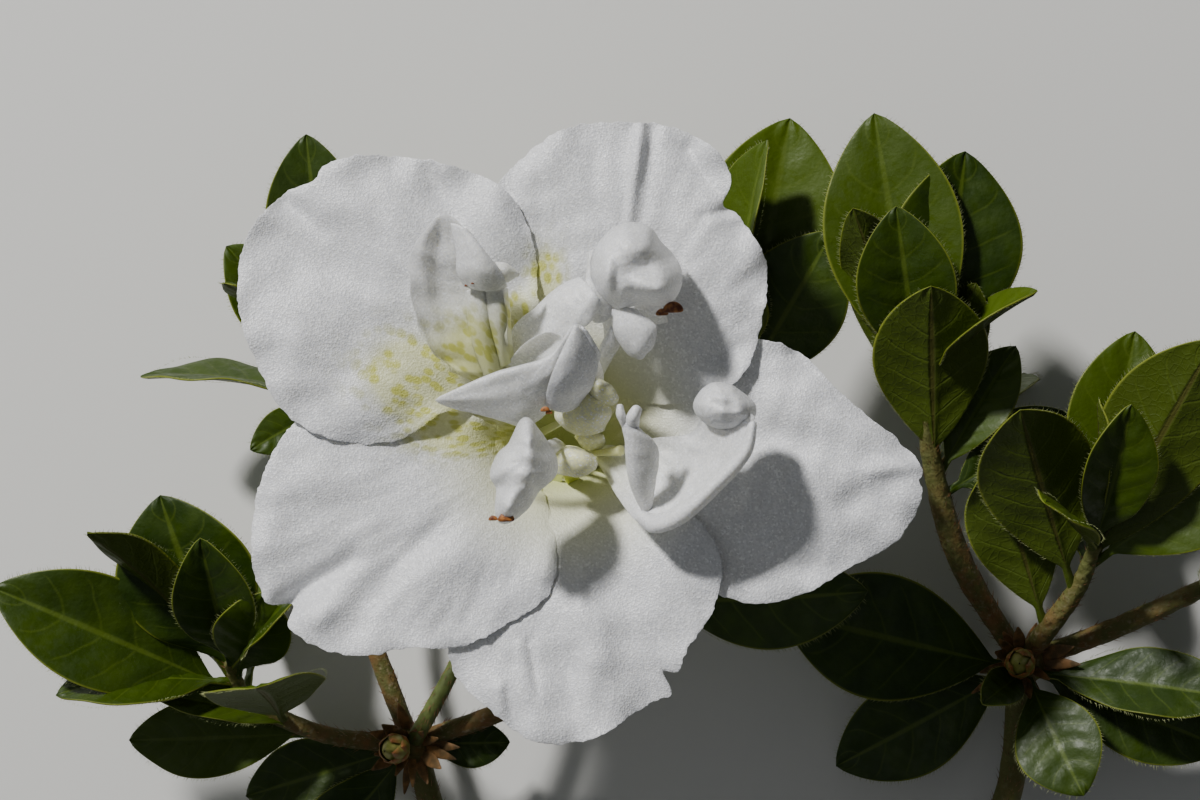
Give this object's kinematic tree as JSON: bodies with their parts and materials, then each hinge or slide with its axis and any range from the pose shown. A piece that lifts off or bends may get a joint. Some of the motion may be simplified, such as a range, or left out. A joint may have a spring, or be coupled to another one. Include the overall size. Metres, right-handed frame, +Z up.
{
  "type": "flowering azalea spray",
  "caption": "Cut flowering spray of an evergreen azalea, lying flat: a wide white bloom with petal-like stamens facing up over whorls of glossy dark green leaves.",
  "frame": {"origin": "on the surface it lies on, under the middle of the spray", "axes": "+Z up, out of the bloom's face; +X to the right and +Y away from the cut end, seen from above"},
  "size_m": [0.1692, 0.1428, 0.0601],
  "materials": {
    "petal": "fresh white petal, finely glittering, matt",
    "petaloid": "white petal-like stamen, creamy towards its claw",
    "throat": "pale yellow-green inner parts of the bloom",
    "leaf": "glossy dark green leaf with a paler margin",
    "stalk": "soft green stalk with fine hairs",
    "bud": "pale tan bud scales",
    "bark": "olive-brown young bark with reddish bristles"
  },
  "bodies": {
    "root": {"main_stem": "bark", "branch_left": "bark", "branch_right": "bark", "pedicel_and_calyx": "stalk", "bud_left": "bud", "bud_right": "bud", "corolla": "petal", "pistil": "throat", "petaloid_inner": "throat", "petaloid_small": "throat", "shoot_left": "leaf", "shoot_behind": "leaf", "shoot_under": "leaf", "shoot_upper_right": "leaf", "shoot_right": "leaf", "shoot_far_right": "leaf", "whorl_left": "leaf", "whorl_right": "leaf", "petaloid_left": "petaloid", "petaloid_centre": "petaloid", "petaloid_middle": "petaloid", "petaloid_top": "petaloid", "petaloid_right": "petaloid", "petaloid_front": "petaloid"}
  },
  "joints": []
}
